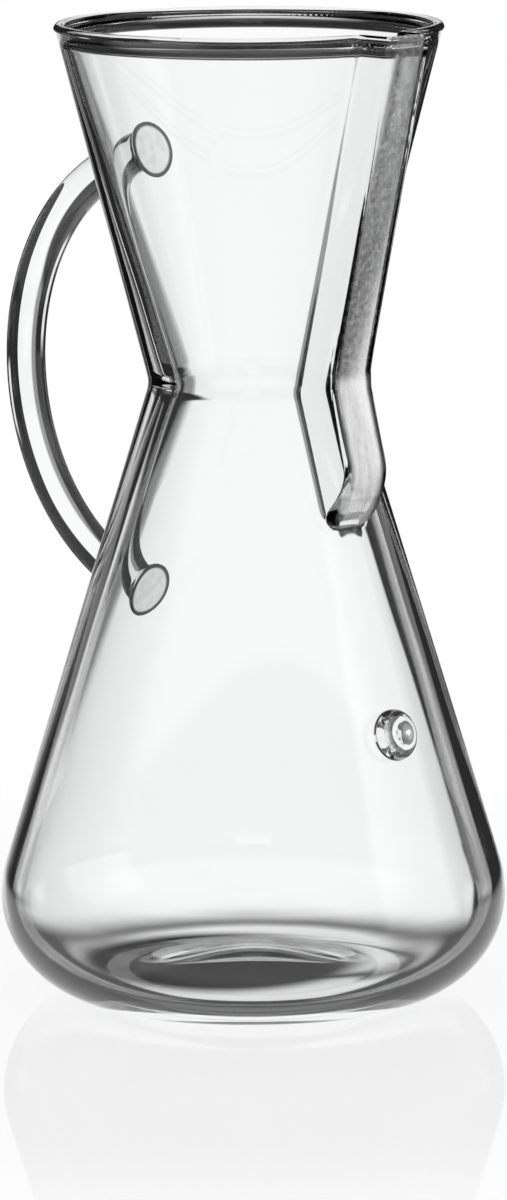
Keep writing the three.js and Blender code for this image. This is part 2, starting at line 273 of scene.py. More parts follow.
class StudioLooks(PropertyGroup):
    """The white floor, the white card and table behind the object, and the camera."""

    floor: colour("Floor", "Colour of the floor", (0.96, 0.96, 0.962))
    floor_radius: length("Floor radius", "Size of the floor", 0.26)
    floor_glow: share("Floor glow", "Share of the floor that shows plain white", 0.64)
    camera_azimuth: angle("Camera azimuth", "Turn of the camera round the object", 46.5)
    camera_distance: length("Camera distance", "Level distance from the vessel's axis", 1.368)
    camera_height: length("Camera height", "Height above the floor", 0.328)
    camera_tilt: angle("Camera tilt", "How far the camera looks down", 10.05)
    camera_pan: angle("Camera pan", "Turn that sets the vessel left of the middle", 0.015)
    camera_roll: angle("Camera roll", "Tilt of the frame", -0.3)
    focal_pixels: FloatProperty(name="Focal pixels", description="Lens in pixels of the frame",
                                default=6457.0)
    surround: share("Surround", "Brightness between the panels", 0.025)
    card_distance: length("Card distance", "Vessel axis to the white card behind it", 1.5)
    card_left: length("Card left", "Left edge of the card", -0.36)
    card_right: length("Card right", "Right edge of the card", 0.3)
    card_bottom: length("Card bottom", "Lower edge of the card", -0.47)
    card_fade: length("Card fade", "Height over which the card's lower edge fades", 0.13)
    card_top: length("Card top", "Upper edge of the card", 0.08)
    card_skirt: length("Card skirt", "Width of the dim strip left of the card", 0.24)
    table_start: length("Table start", "Vessel axis to the near edge of the white table behind it", 0.11)


SETTINGS = {
    "coffee_vessel": VesselSizes,
    "coffee_channel": ChannelSizes,
    "coffee_handle": HandleSizes,
    "coffee_button": ButtonSizes,
    "coffee_mesh": MeshSteps,
    "coffee_glass": GlassLooks,
    "coffee_studio": StudioLooks,
}


class Wire:
    """A node's output, whose arithmetic adds Math nodes to its tree."""

    def __init__(self, bench, node, output=0):
        self.bench = bench
        self.node = node
        self.socket = node.outputs[output]

    def out(self, output):
        """Another output of the same node."""
        return Wire(self.bench, self.node, output)

    def __add__(self, other):
        return self.bench.maths("ADD", self, other)

    def __radd__(self, other):
        return self.bench.maths("ADD", other, self)

    def __sub__(self, other):
        return self.bench.maths("SUBTRACT", self, other)

    def __rsub__(self, other):
        return self.bench.maths("SUBTRACT", other, self)

    def __mul__(self, other):
        return self.bench.maths("MULTIPLY", self, other)

    def __rmul__(self, other):
        return self.bench.maths("MULTIPLY", other, self)

    def __pow__(self, other):
        return self.bench.maths("POWER", self, other)


class Bench:
    """A node tree under construction, where every node comes from add."""

    def __init__(self, tree):
        self.tree = tree
        tree.nodes.clear()

    def add(self, kind, settings=None, inputs=None):
        """A node of one kind, with its settings first and then the values or wires of its inputs."""
        node = self.tree.nodes.new(kind)
        for name, value in (settings or {}).items():
            setattr(node, name, value)
        for name, value in (inputs or {}).items():
            if isinstance(value, Wire):
                self.tree.links.new(value.socket, node.inputs[name])
            else:
                node.inputs[name].default_value = value
        return Wire(self, node) if node.outputs else None

    def maths(self, operation, *values):
        """A Math node on values or wires."""
        return self.add("ShaderNodeMath", {"operation": operation}, dict(enumerate(values)))

    def mix(self, part, first, second):
        """Two shaders, with the second one's part of the whole."""
        return self.add("ShaderNodeMixShader", None, {0: part, 1: first, 2: second})

    def place(self):
        """Where a point lies on its object."""
        return self.add("ShaderNodeTexCoord").out("Object")

    def least(self, first, second):
        """The smaller of two values."""
        return self.maths("MINIMUM", first, second)

    def most(self, first, second):
        """The larger of two values."""
        return self.maths("MAXIMUM", first, second)

    def within(self, value, low, high, low_soft, high_soft):
        """1 between two values, with a soft edge centred on each."""
        risen = self.ease(value, low - low_soft / 2, low + low_soft / 2)
        return risen * (1 - self.ease(value, high - high_soft / 2, high + high_soft / 2))

    def bent_path(self):
        """1 for light that glass or a mirror turned before it met any matt surface."""
        path = self.add("ShaderNodeLightPath")
        bent = self.least(path.out("Is Transmission Ray") + path.out("Is Glossy Ray"), 1.0)
        return bent * (1 - path.out("Is Camera Ray")) * (1 - self.least(path.out("Diffuse Depth"), 1.0))

    def ease(self, value, low, high):
        """A smooth step from 0 at low to 1 at high."""
        return self.add("ShaderNodeMapRange", {"interpolation_type": "SMOOTHSTEP"},
                        {"Value": value, "From Min": low, "From Max": high})


def proud_of_wall(bench, place, shape):
    """How far a place lies out of the two cones, aside of the channel's middle, and above the waist."""
    vessel = shape.vessel
    parts = bench.add("ShaderNodeSeparateXYZ", None, {0: place})
    x, y = parts.out("X") - vessel.axis_x, parts.out("Y")
    height = parts.out("Z") - vessel.waist_height
    cones = []
    for lean, slope in ((shape.funnel_lean, 1), (shape.flask_lean, -1)):
        foot = shape.waist_x - vessel.waist_curve / math.cos(lean)
        cones.append(height * (slope * math.tan(lean)) + foot)
    aside = bench.maths("ABSOLUTE", y)
    return (x * x + y * y) ** 0.5 - bench.most(*cones), aside, height


def grain(bench, place, scale, detail=2.0):
    """A fine noise over the glass, in grains for each metre."""
    return bench.add("ShaderNodeTexNoise", None, {"Vector": place, "Scale": scale, "Detail": detail})


def stretched(bench, place, stretch):
    """Places squeezed in height, which draws a noise out upwards."""
    return bench.add("ShaderNodeMapping", None, {"Vector": place, "Scale": (1.0, 1.0, stretch)})


def glass_surface(bench, looks, place, normal, frost=0.0):
    """Clear glass with a trace of haze, and rougher where it is frosted."""
    haze = bench.ease(grain(bench, place, HAZE_GRAIN, 3.0), *HAZE_RANGE)
    return bench.add("ShaderNodeBsdfPrincipled", None, {
        "Base Color": (*looks.tint, 1),
        "Roughness": haze * HAZE_ROUGHNESS + frost,
        "IOR": looks.ior,
        "Transmission Weight": 1.0,
        "Normal": normal,
    })


def ripple_normal(bench, place, scale, stretch, strength, normal=None):
    """A normal bent by ripples that were drawn out upwards."""
    waves = grain(bench, stretched(bench, place, stretch), scale, 1.0)
    inputs = {"Strength": strength, "Distance": RIPPLE_DEPTH, "Height": waves}
    if normal:
        inputs["Normal"] = normal
    return bench.add("ShaderNodeBump", None, inputs)


def finish_glass(bench, looks, surface):
    """Join a surface to the tint of thick edges, and let shadows and scattered light through unbent."""
    absorb = bench.add("ShaderNodeVolumeAbsorption", None,
                       {"Color": (*looks.depth_tint, 1), "Density": looks.depth_density})
    path = bench.add("ShaderNodeLightPath")
    shaded = bench.most(path.out("Is Shadow Ray"), bench.least(path.out("Diffuse Depth"), 1.0))
    shade = (looks.shade, looks.shade, looks.shade, 1)
    pale = bench.add("ShaderNodeBsdfTransparent", None, {"Color": shade})
    surface = bench.mix(shaded, surface, pale)
    bench.add("ShaderNodeOutputMaterial", None, {"Surface": surface, "Volume": absorb})


def finish_cloudy_glass(bench, looks, clear, cloud, tint):
    """Finish clear glass that is milky by a share that changes over it."""
    milky = bench.add("ShaderNodeBsdfPrincipled", None, {"Base Color": tint, "Roughness": MILKY_ROUGHNESS})
    finish_glass(bench, looks, bench.mix(cloud, clear, milky))


def new_bench(name):
    """A new material, and the bench of its node tree."""
    material = bpy.data.materials.new(name)
    material.use_nodes = True
    return material, Bench(material.node_tree)


def vessel_glass(looks, shape):
    """Blown glass with a soft ripple.

    The channel's front is frosted, mottled and specked above the waist, and hazy in streaks below it.
    """
    material, bench = new_bench("blown_glass")
    place = bench.place()
    proud, aside, height = proud_of_wall(bench, place, shape)
    middle = 1 - bench.ease(aside, *FRONT_ASIDE)
    upper = bench.ease(height, *FRONT_UPPER)
    front = bench.ease(proud, *FRONT_PROUD) * middle
    upper_front = front * upper
    lower_front = front * (1 - upper)
    foot = bench.within(height, FOOT_LOW, FOOT_HIGH, FOOT_LOW_SOFT, FOOT_HIGH_SOFT)
    foot = bench.ease(proud, *FOOT_PROUD) * foot * middle * FOOT_SHARE
    blown = ripple_normal(bench, place, **BLOWN_RIPPLE)
    moulded = ripple_normal(bench, place, **MOULD_RIPPLE, strength=upper_front * looks.mottle, normal=blown)
    clear = glass_surface(bench, looks, place, moulded, bench.most(front, foot) * looks.frost)
    streaks = grain(bench, stretched(bench, place, STREAK_STRETCH), STREAK_GRAIN)
    haze = bench.most(lower_front, foot) * looks.haze * (streaks * STREAK_GAIN + STREAK_BASE)
    specks = upper_front * looks.specks * bench.ease(grain(bench, place, SPECK_GRAIN), *SPECK_RANGE)
    finish_cloudy_glass(bench, looks, clear, haze + specks, (*looks.tint, 1))
    return material


def rod_glass(looks, shape, handle, seats):
    """Drawn glass whose sealed ends are cloudy against the wall, each with a dark line of painted shade
    round it.
    """
    material, bench = new_bench("rod_glass")
    place = bench.place()
    proud, _, _ = proud_of_wall(bench, place, shape)
    bubbles = grain(bench, place, BUBBLE_GRAIN) * BUBBLE_DEPTH + (looks.cloud - BUBBLE_DEPTH / 2)
    cloud = (1 - bench.ease(proud, *SEAL_PROUD)) * bubbles
    clear = glass_surface(bench, looks, place, ripple_normal(bench, place, **DRAWN_RIPPLE))
    away = [bench.add("ShaderNodeVectorMath", {"operation": "DISTANCE"}, {0: place, 1: seat}).out("Value")
            for seat in seats]
    # Painted shade: each sealed end turns near black towards its rim.
    line_start, line_full = SEAL_SHADE_LINE
    edge = bench.ease(bench.least(*away), line_start * handle.seal, line_full * handle.seal)
    colours = bench.add("ShaderNodeMix", {"data_type": "RGBA"},
                        {0: edge, 6: (*looks.tint, 1), 7: (*looks.painted_seal_shade, 1)}).out(2)
    finish_cloudy_glass(bench, looks, clear, cloud, colours)
    return material


def button_glass(looks):
    """Pressed glass with a fine ripple."""
    material, bench = new_bench("button_glass")
    place = bench.place()
    clear = glass_surface(bench, looks, place, ripple_normal(bench, place, **DRAWN_RIPPLE))
    finish_glass(bench, looks, clear)
    return material


def solve_falling(fall, low, high):
    """Where a falling function crosses zero between two values, for many at once."""
    low = np.array(low, dtype=float)
    high = np.array(high, dtype=float)
    for _ in range(SOLVE_STEPS):
        middle = (low + high) / 2
        above = fall(middle) > 0
        low = np.where(above, middle, low)
        high = np.where(above, high, middle)
    return (low + high) / 2


class VesselShape:
    """Outline of the vessel: heel arc, flask cone, waist arc and funnel cone, with the pouring channel."""

    def __init__(self, vessel, channel):
        self.vessel = vessel
        self.channel = channel
        self.rim = vessel.height - vessel.bead / 2
        self.heel_x = vessel.belly_radius - vessel.heel_curve
        self.waist_x = vessel.waist_radius + vessel.waist_curve
        self.flask_lean = self.lean(self.heel_x - self.waist_x, vessel.waist_height - vessel.heel_curve,
                                    vessel.heel_curve + vessel.waist_curve)
        self.funnel_lean = self.lean(vessel.mouth_radius - self.waist_x, self.rim - vessel.waist_height,
                                     vessel.waist_curve)
        self.heel_top = vessel.heel_curve * (1 + math.sin(self.flask_lean))
        self.waist_low = vessel.waist_height - vessel.waist_curve * math.sin(self.flask_lean)
        self.waist_high = vessel.waist_height + vessel.waist_curve * math.sin(self.funnel_lean)
        self.sector = 2 * math.asin(channel.waist_width / 2 / vessel.waist_radius)
        self.rim_front = vessel.mouth_radius + channel.mouth_depth
        self.bend_front = vessel.waist_radius + channel.waist_depth
        self.foot_front = float(self.radius(channel.foot_height)) + channel.foot_depth

    @staticmethod
    def lean(spread, rise, offset):
        """Lean from upright of a line that clears its far end's centre by an offset."""
        return math.asin(offset / math.hypot(rise, spread)) + math.atan2(spread, rise)

    def radius(self, z):
        """Outside radius at a height."""
        vessel = self.vessel
        z = np.asarray(z, dtype=float)
        heel = self.heel_x + np.sqrt(np.maximum(0, vessel.heel_curve ** 2 - (vessel.heel_curve - z) ** 2))
        flask = self.waist_x - vessel.waist_curve * math.cos(self.flask_lean)
        flask = flask + (self.waist_low - z) * math.tan(self.flask_lean)
        bend = vessel.waist_curve ** 2 - (z - vessel.waist_height) ** 2
        waist = self.waist_x - np.sqrt(np.maximum(0, bend))
        funnel = self.waist_x - vessel.waist_curve * math.cos(self.funnel_lean)
        funnel = funnel + (z - self.waist_high) * math.tan(self.funnel_lean)
        below_waist = np.where(z < self.heel_top, heel, flask)
        above_waist = np.where(z < self.waist_high, waist, funnel)
        return np.where(z < self.waist_low, below_waist, above_waist)

    def nearness(self, z):
        """How near a height is to the waist: 1 at the waist, and 0 at the rim and at the belly."""
        vessel = self.vessel
        if z > vessel.waist_height:
            return (self.rim - z) / (self.rim - vessel.waist_height)
        return ((vessel.belly_radius - self.radius(z)) / (vessel.belly_radius - vessel.waist_radius)) ** 2

    def level_wall(self, z):
        """Thickness of the wall measured level, thinner where the vessel was blown wider."""
        vessel = self.vessel
        below = z < vessel.waist_height
        wide_wall = vessel.belly_wall if below else vessel.rim_wall
        thickness = wide_wall + (vessel.waist_wall - wide_wall) * self.nearness(z)
        return thickness / math.cos(self.flask_lean if below else self.funnel_lean)

    def channel_front(self, z):
        """Reach of the channel's front: two straight lines with a rounded bend between them."""
        sizes = self.channel
        funnel = (self.rim_front - self.bend_front) * (z - sizes.bend_height)
        funnel = funnel / (self.rim - sizes.bend_height)
        flask = (self.foot_front - self.bend_front) * (sizes.bend_height - z)
        flask = flask / (sizes.bend_height - sizes.foot_height)
        return self.bend_front + (funnel + flask) / 2 + np.hypot((funnel - flask) / 2, sizes.bend_round)

    def channel_sizes(self, z):
        """Half width of the channel at a height, its depth, and the share of the depth that is left."""
        sizes = self.channel
        waist = self.vessel.waist_height
        above = np.clip((z - waist) / (self.rim - waist), 0, 1)
        fade = np.clip((sizes.foot_height - z) / (sizes.foot_height - sizes.end_height), 0, 1)
        tip = 1 - np.clip((z - sizes.end_height) / sizes.end_round, 0, 1)
        width = sizes.waist_width + (sizes.mouth_width - sizes.waist_width) * above
        depth = self.channel_front(z) - self.radius(z)
        taper = sizes.end_round * (1 - np.sqrt(1 - tip * tip))
        return width / 2 - taper, depth, np.cos(fade * math.pi / 2)

    def section(self, x, y, z, shift, wall, channel_wall, corner, fillet):
        """Distance from a level section: a shifted circle joined to a slot, each drawn in by its wall.

        At the channel's faded end the slot lies one fillet inside the circle, where it no longer shows.
        """
        radius = self.radius(z) - wall
        half_width, depth, left = self.channel_sizes(z)
        half_width = half_width - channel_wall
        rise = (depth + wall - channel_wall + fillet) * left - fillet
        corner = np.minimum(corner, half_width)
        round_wall = np.hypot(x - shift, y) - radius
        half_reach = (radius + rise) / 2
        beyond_x = np.abs(x - half_reach) - half_reach + corner
        beyond_y = np.abs(y) - half_width + corner
        outside = np.hypot(np.maximum(beyond_x, 0), np.maximum(beyond_y, 0))
        slot = outside + np.minimum(np.maximum(beyond_x, beyond_y), 0) - corner
        blend = np.hypot(np.maximum(fillet - round_wall, 0), np.maximum(fillet - slot, 0))
        return np.maximum(fillet, np.minimum(round_wall, slot)) - blend

    def distance(self, x, y, z, depth):
        """Distance from the surface at a depth in the wall: 0 is the outside and 1 is the inside."""
        channel = self.channel
        shift = self.vessel.hollow_shift * self.nearness(z)
        outer = self.section(x, y, z, 0.0, 0.0, 0.0, channel.corner, channel.fillet)
        inner = self.section(x, y, z, shift, self.level_wall(z), channel.wall, channel.hollow, channel.edge)
        return outer + (inner - outer) * depth

    def ring(self, z, depth, bulge, steps):
        """Points of the section at a height and a depth in the wall, with any bulge beyond the wall."""
        fine = np.linspace(-self.sector, self.sector, steps.channel * CHANNEL_FINENESS + 1)
        x, y = np.cos(fine), np.sin(fine)
        far = np.full_like(fine, 2 * self.vessel.belly_radius)

        def inside(reach):
            return bulge - self.distance(reach * x, reach * y, z, depth)

        reach = solve_falling(inside, np.zeros_like(fine), far)
        x, y = reach * x, reach * y
        run = np.concatenate([[0], np.cumsum(np.hypot(np.diff(x), np.diff(y)))])
        even = np.linspace(0, run[-1], steps.channel + 1)
        rest = np.linspace(self.sector, 2 * math.pi - self.sector, steps.round + 1)[1:-1]
        radius = self.radius(z) - depth * self.level_wall(z) + bulge
        shift = depth * self.vessel.hollow_shift * self.nearness(z)
        x = np.concatenate([np.interp(even, run, x), radius * np.cos(rest) + shift])
        y = np.concatenate([np.interp(even, run, y), radius * np.sin(rest)])
        return np.column_stack([x, y])

    def circle(self, radius, steps):
        """A plain level circle with the points of a ring."""
        near = np.linspace(-self.sector, self.sector, steps.channel + 1)
        rest = np.linspace(self.sector, 2 * math.pi - self.sector, steps.round + 1)[1:-1]
        turn = np.concatenate([near, rest])
        return radius * np.column_stack([np.cos(turn), np.sin(turn)])

    def heights(self, bottom, steps):
        """Heights of the rings up the wall, closer over the channel's lower end and the waist."""
        stops = (
            (self.channel.end_height, steps.flask),
            (self.channel.foot_height, steps.foot),
            (self.waist_low, steps.waist),
            (self.waist_high, steps.waist),
            (self.rim, steps.funnel),
        )
        runs = []
        for top, number in stops:
            runs.append(np.linspace(bottom, top, number + 1)[1:])
            bottom = top
        return np.concatenate(runs)

    def ripple(self, points):
        """Points of the inside of the wall moved in and out by a soft blown ripple."""
        vessel = self.vessel
        waves = np.array([noise.noise(Vector(point) / vessel.ripple_width) for point in points])
        out = points[:, :2] / np.linalg.norm(points[:, :2], axis=1)[:, None]
        return np.column_stack([points[:, :2] + out * (vessel.ripple * waves)[:, None], points[:, 2]])

    def punt_rise(self, radius):
        """Height of the pushed-up base above its foot ring."""
        share_out = np.minimum(radius / self.vessel.punt_radius, 1)
        return self.vessel.punt_height * (1 + np.cos(math.pi * share_out)) / 2


def vessel_rings(shape, steps):
    """Rings of the closed wall: under the base, up the outside, over the rim and down the inside."""
    vessel = shape.vessel
    rings = []

    def add(points, z):
        rings.append(np.column_stack([points, np.full(len(points), z)]))

    punt = np.linspace(0, vessel.punt_radius, steps.punt + 1)[1:]
    heel = np.linspace(0, math.pi / 2 + shape.flask_lean, steps.heel + 1)
    for radius in punt:
        add(shape.circle(radius, steps), shape.punt_rise(radius))
    for turn in heel:
        radius = shape.heel_x + vessel.heel_curve * math.sin(turn)
        add(shape.circle(radius, steps), vessel.heel_curve * (1 - math.cos(turn)))
    for z in shape.heights(shape.heel_top, steps):
        add(shape.ring(z, 0.0, 0.0, steps), z)
    half_wall = shape.level_wall(shape.rim) / 2
    for turn in np.linspace(0, math.pi, steps.bead + 1):
        out = vessel.bead / 2 * math.cos(turn)
        held = min(max(out, -half_wall), half_wall)
        points = shape.ring(shape.rim, 0.5 - held / half_wall / 2, out - held, steps)
        add(points, shape.rim + vessel.bead / 2 * math.sin(turn))
    inner_curve = vessel.heel_curve - vessel.belly_wall
    inner_top = vessel.heel_curve + inner_curve * math.sin(shape.flask_lean)
    for z in shape.heights(inner_top, steps)[::-1]:
        add(shape.ring(z, 1.0, 0.0, steps), z)
        rings[-1] = shape.ripple(rings[-1])
    for turn in heel[::-1]:
        drop = vessel.heel_curve - vessel.base if turn < math.pi / 2 else inner_curve
        radius = shape.heel_x + inner_curve * math.sin(turn)
        add(shape.circle(radius, steps), vessel.heel_curve - drop * math.cos(turn))
    for radius in punt[::-1]:
        add(shape.circle(radius, steps), vessel.base + shape.punt_rise(radius))
    return np.array(rings)


def skin_mesh(name, rings, first_pole, last_pole):
    """A closed mesh over a stack of rings, with a pole at each end."""
    ring_count, around = rings.shape[:2]
    points = np.concatenate([[first_pole], rings.reshape(-1, 3), [last_pole]])
    index = 1 + np.arange(ring_count * around).reshape(ring_count, around)
    onward = np.roll(index, -1, axis=1)
    quads = np.stack([index[:-1], onward[:-1], onward[1:], index[1:]], axis=-1).reshape(-1, 4).tolist()
    first = [(0, b, a) for a, b in zip(index[0].tolist(), onward[0].tolist())]
    last = [(a, b, len(points) - 1) for a, b in zip(index[-1].tolist(), onward[-1].tolist())]
    mesh = bpy.data.meshes.new(name)
    mesh.from_pydata(points.tolist(), [], quads + first + last)
    mesh.shade_smooth()
    return mesh


def add_piece(name, mesh, material, slot, *nodes):
    """Put a finished mesh in the scene in place of the CAD nodes that it stands for."""
    piece = bpy.data.objects.new(name, mesh)
    bpy.context.scene.collection.objects.link(piece)
    mesh.materials.append(material)
    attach(piece, "root")
    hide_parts(*nodes)


def settings_of(context):
    """The settings groups of the scene, by their short names."""
    return {name.split("_", 1)[1]: getattr(context.scene, name) for name in SETTINGS}


class COFFEE_OT_vessel(Operator):
    """Blow the vessel: base, flask, waist, funnel, rim bead and pouring channel as one wall"""

    bl_idname = "coffee.vessel"
    bl_label = "Blow Vessel"

    def execute(self, context):
        settings = settings_of(context)
        vessel = settings["vessel"]
        shape = VesselShape(vessel, settings["channel"])
        rings = vessel_rings(shape, settings["mesh"])
        rings[:, :, 0] += vessel.axis_x
        under = (vessel.axis_x, 0, vessel.punt_height)
        floor = (vessel.axis_x, 0, vessel.punt_height + vessel.base)
        mesh = skin_mesh("blown_vessel", rings, under, floor)
        material = vessel_glass(settings["glass"], shape)
        add_piece("blown_vessel", mesh, material, "body_glass", "glass_body")
        return {"FINISHED"}


def seat_on_wall(shape, points, ways, gap):
    """Distances along given ways that bring points onto the outside of the vessel, a gap away from it."""
    axis = np.array([shape.vessel.axis_x, 0, 0])

    def inside(run):
        moved = points + run[..., None] * ways - axis
        return np.hypot(moved[..., 0], moved[..., 1]) - shape.radius(moved[..., 2]) - gap

    reach = np.full(points.shape[:-1], SEAT_REACH)
    return solve_falling(inside, -reach, reach)


def handle_nodes():
    """Geometry nodes that sweep a round rod along an arc and flare both its ends."""
    tree = bpy.data.node_groups.new("rod_sweep", "GeometryNodeTree")
    bench = Bench(tree)
    kinds = {"Bend": "Float", "Start": "Float", "Sweep": "Float", "Rod": "Float", "Seal": "Float",
             "Flare": "Float", "Centre": "Vector", "Rings": "Int", "Sides": "Int", "Glass": "Material"}
    tree.interface.new_socket("Geometry", in_out="INPUT", socket_type="NodeSocketGeometry")
    tree.interface.new_socket("Geometry", in_out="OUTPUT", socket_type="NodeSocketGeometry")
    for name, kind in kinds.items():
        tree.interface.new_socket(name, in_out="INPUT", socket_type="NodeSocket" + kind)
    given = bench.add("NodeGroupInput")
    arc = bench.add("GeometryNodeCurveArc", {"mode": "RADIUS"}, {
        "Resolution": given.out("Rings"),
        "Radius": given.out("Bend"),
        "Start Angle": given.out("Start"),
        "Sweep Angle": given.out("Sweep"),
    })
    upright = bench.add("GeometryNodeTransform", None, {
        "Geometry": arc,
        "Translation": given.out("Centre"),
        "Rotation": (math.pi / 2, 0, 0),
    })
    walked = bench.add("GeometryNodeSplineParameter").out("Length")
    total = bench.add("GeometryNodeSplineLength").out("Length")
    nearest = bench.least(walked, total - walked)
    flare = 1 - bench.ease(nearest, 0.0, given.out("Flare"))
    girth = given.out("Rod") + (given.out("Seal") - given.out("Rod")) * flare
    circle = bench.add("GeometryNodeCurvePrimitiveCircle", {"mode": "RADIUS"},
                       {"Resolution": given.out("Sides"), "Radius": 1.0})
    rod = bench.add("GeometryNodeCurveToMesh", None,
                    {"Curve": upright, "Profile Curve": circle, "Scale": girth})
    whole = bench.add("GeometryNodeRealizeInstances", None, {"Geometry": rod})
    glazed = bench.add("GeometryNodeSetMaterial", None, {"Geometry": whole, "Material": given.out("Glass")})
    bench.add("NodeGroupOutput", None, {"Geometry": glazed})
    return tree


def run_nodes(name, tree, values):
    """The mesh that a node tree makes from named input values."""
    holder = bpy.data.objects.new(name, bpy.data.meshes.new(name))
    bpy.context.scene.collection.objects.link(holder)
    modifier = holder.modifiers.new(name, "NODES")
    modifier.node_group = tree
    sockets = {item.name: item.identifier for item in tree.interface.items_tree if item.in_out == "INPUT"}
    for key, value in values.items():
        modifier[sockets[key]] = value
    holder.update_tag()
    view = bpy.context.evaluated_depsgraph_get()
    mesh = bpy.data.meshes.new_from_object(holder.evaluated_get(view), depsgraph=view)
    holder.modifiers.remove(modifier)
    bpy.data.objects.remove(holder)
    return mesh


class COFFEE_OT_handle(Operator):
    """Bend the solid rod handle and seal its flared ends to the vessel"""

    bl_idname = "coffee.handle"
    bl_label = "Bend Handle"

    def execute(self, context):
        settings = settings_of(context)
        vessel, handle, steps = settings["vessel"], settings["handle"], settings["mesh"]
        shape = VesselShape(vessel, settings["channel"])
        centre = handle.reach - handle.curve
        upper = self.wall_turn(shape, handle, centre, 1)
        lower = self.wall_turn(shape, handle, centre, -1)
        seats = [(vessel.axis_x - centre - handle.curve * math.cos(turn), 0,
                  handle.middle_height + side * handle.curve * math.sin(turn))
                 for turn, side in ((upper, 1), (lower, -1))]
        material = rod_glass(settings["glass"], shape, handle, seats)
        mesh = run_nodes("rod_handle", handle_nodes(), {
            "Bend": handle.curve,
            "Start": math.pi - upper,
            "Sweep": upper + lower,
            "Rod": handle.rod / 2,
            "Seal": handle.seal / 2,
            "Flare": handle.seal_length,
            "Centre": (vessel.axis_x - centre, 0, handle.middle_height),
            "Rings": steps.rod,
            "Sides": steps.rod_sides,
            "Glass": material,
        })
        points = np.array([vertex.co for vertex in mesh.vertices]).reshape(steps.rod, steps.rod_sides, 3)
        points = self.seal_end(shape, handle, points)
        points = self.seal_end(shape, handle, points[::-1])[::-1]
        sealed = skin_mesh("rod_handle", points[1:-1], points[0, 0], points[-1, 0])
        add_piece("rod_handle", sealed, material, "rod_glass",
                  "handle_rod", "upper_handle_seal", "lower_handle_seal")
        return {"FINISHED"}

    @staticmethod
    def wall_turn(shape, handle, centre, side):
        """Turn from the outermost point of the bend to where its centre line meets the wall."""
        def outside(turn):
            z = handle.middle_height + side * handle.curve * np.sin(turn)
            return centre + handle.curve * np.cos(turn) - shape.radius(z)
        return float(solve_falling(outside, 0.0, math.pi))

    @staticmethod
    def seal_end(shape, handle, points):
        """Seat the first rings of the rod on the wall and close them with a cap that follows it."""
        middle = points.mean(axis=1)
        way = (middle[0] - middle[1]) / np.linalg.norm(middle[0] - middle[1])
        run = np.concatenate([[0], np.cumsum(np.linalg.norm(np.diff(middle, axis=0), axis=1))])
        weight = np.clip(1 - run / handle.seal_length / SEAL_BLEND, 0, 1)[:, None, None]
        push = seat_on_wall(shape, points[0], way, handle.seat_gap)
        points = points + weight * push[None, :, None] * way
        caps = []
        for part in np.linspace(0, 1, CAP_RINGS + 1)[:-1]:
            flat = middle[0] + part * (points[0] - middle[0])
            seat = seat_on_wall(shape, flat, way, handle.seat_gap)
            caps.append(flat + seat[:, None] * way)
        return np.concatenate([np.array(caps), points])


class COFFEE_OT_button(Operator):
    """Press the dimpled level button onto the flask"""

    bl_idname = "coffee.button"
    bl_label = "Press Button"

    def execute(self, context):
        settings = settings_of(context)
        vessel, button = settings["vessel"], settings["button"]
        shape = VesselShape(vessel, settings["channel"])
        radius = float(shape.radius(button.height))
        lean = shape.flask_lean
        out = np.array([math.cos(lean), 0, math.sin(lean)])
        up = np.array([-math.sin(lean), 0, math.cos(lean)])
        across = np.array([0, 1, 0])
        middle = np.array([vessel.axis_x + radius, 0, button.height])
        turns = np.linspace(0, 2 * math.pi, settings["mesh"].rod_sides + 1)[:-1]
        spin = np.cos(turns)[:, None] * across + np.sin(turns)[:, None] * up
        rings = []
        for part, rise in self.profile(button):
            flat = middle + part * button.diameter / 2 * spin
            seat = seat_on_wall(shape, flat, -out, settings["handle"].seat_gap)
            rings.append(flat + (rise - seat)[:, None] * out)
        rings = np.array(rings)
        mesh = skin_mesh("pressed_button", rings[1:-1], rings[0, 0], rings[-1, 0])
        material = button_glass(settings["glass"])
        add_piece("pressed_button", mesh, material, "button_glass", "level_button")
        return {"FINISHED"}

    @staticmethod
    def profile(button):
        """Radius share and height of each ring: the seat outward, then the dome inward to the dimple."""
        shoulder = 1 - BUTTON_CREST
        rings = [(part, 0.0) for part in np.linspace(0, 1, BUTTON_RINGS["seat"])]
        for turn in np.linspace(0, math.pi / 2, BUTTON_RINGS["dome"])[1:]:
            rings.append((BUTTON_CREST + shoulder * math.cos(turn), button.rise * math.sin(turn)))
        for part in np.linspace(BUTTON_CREST, 0, BUTTON_RINGS["dimple"])[1:]:
            sink = button.dimple * (1 + math.cos(math.pi * part / BUTTON_CREST)) / 2
            rings.append((part, button.rise - sink))
        return rings


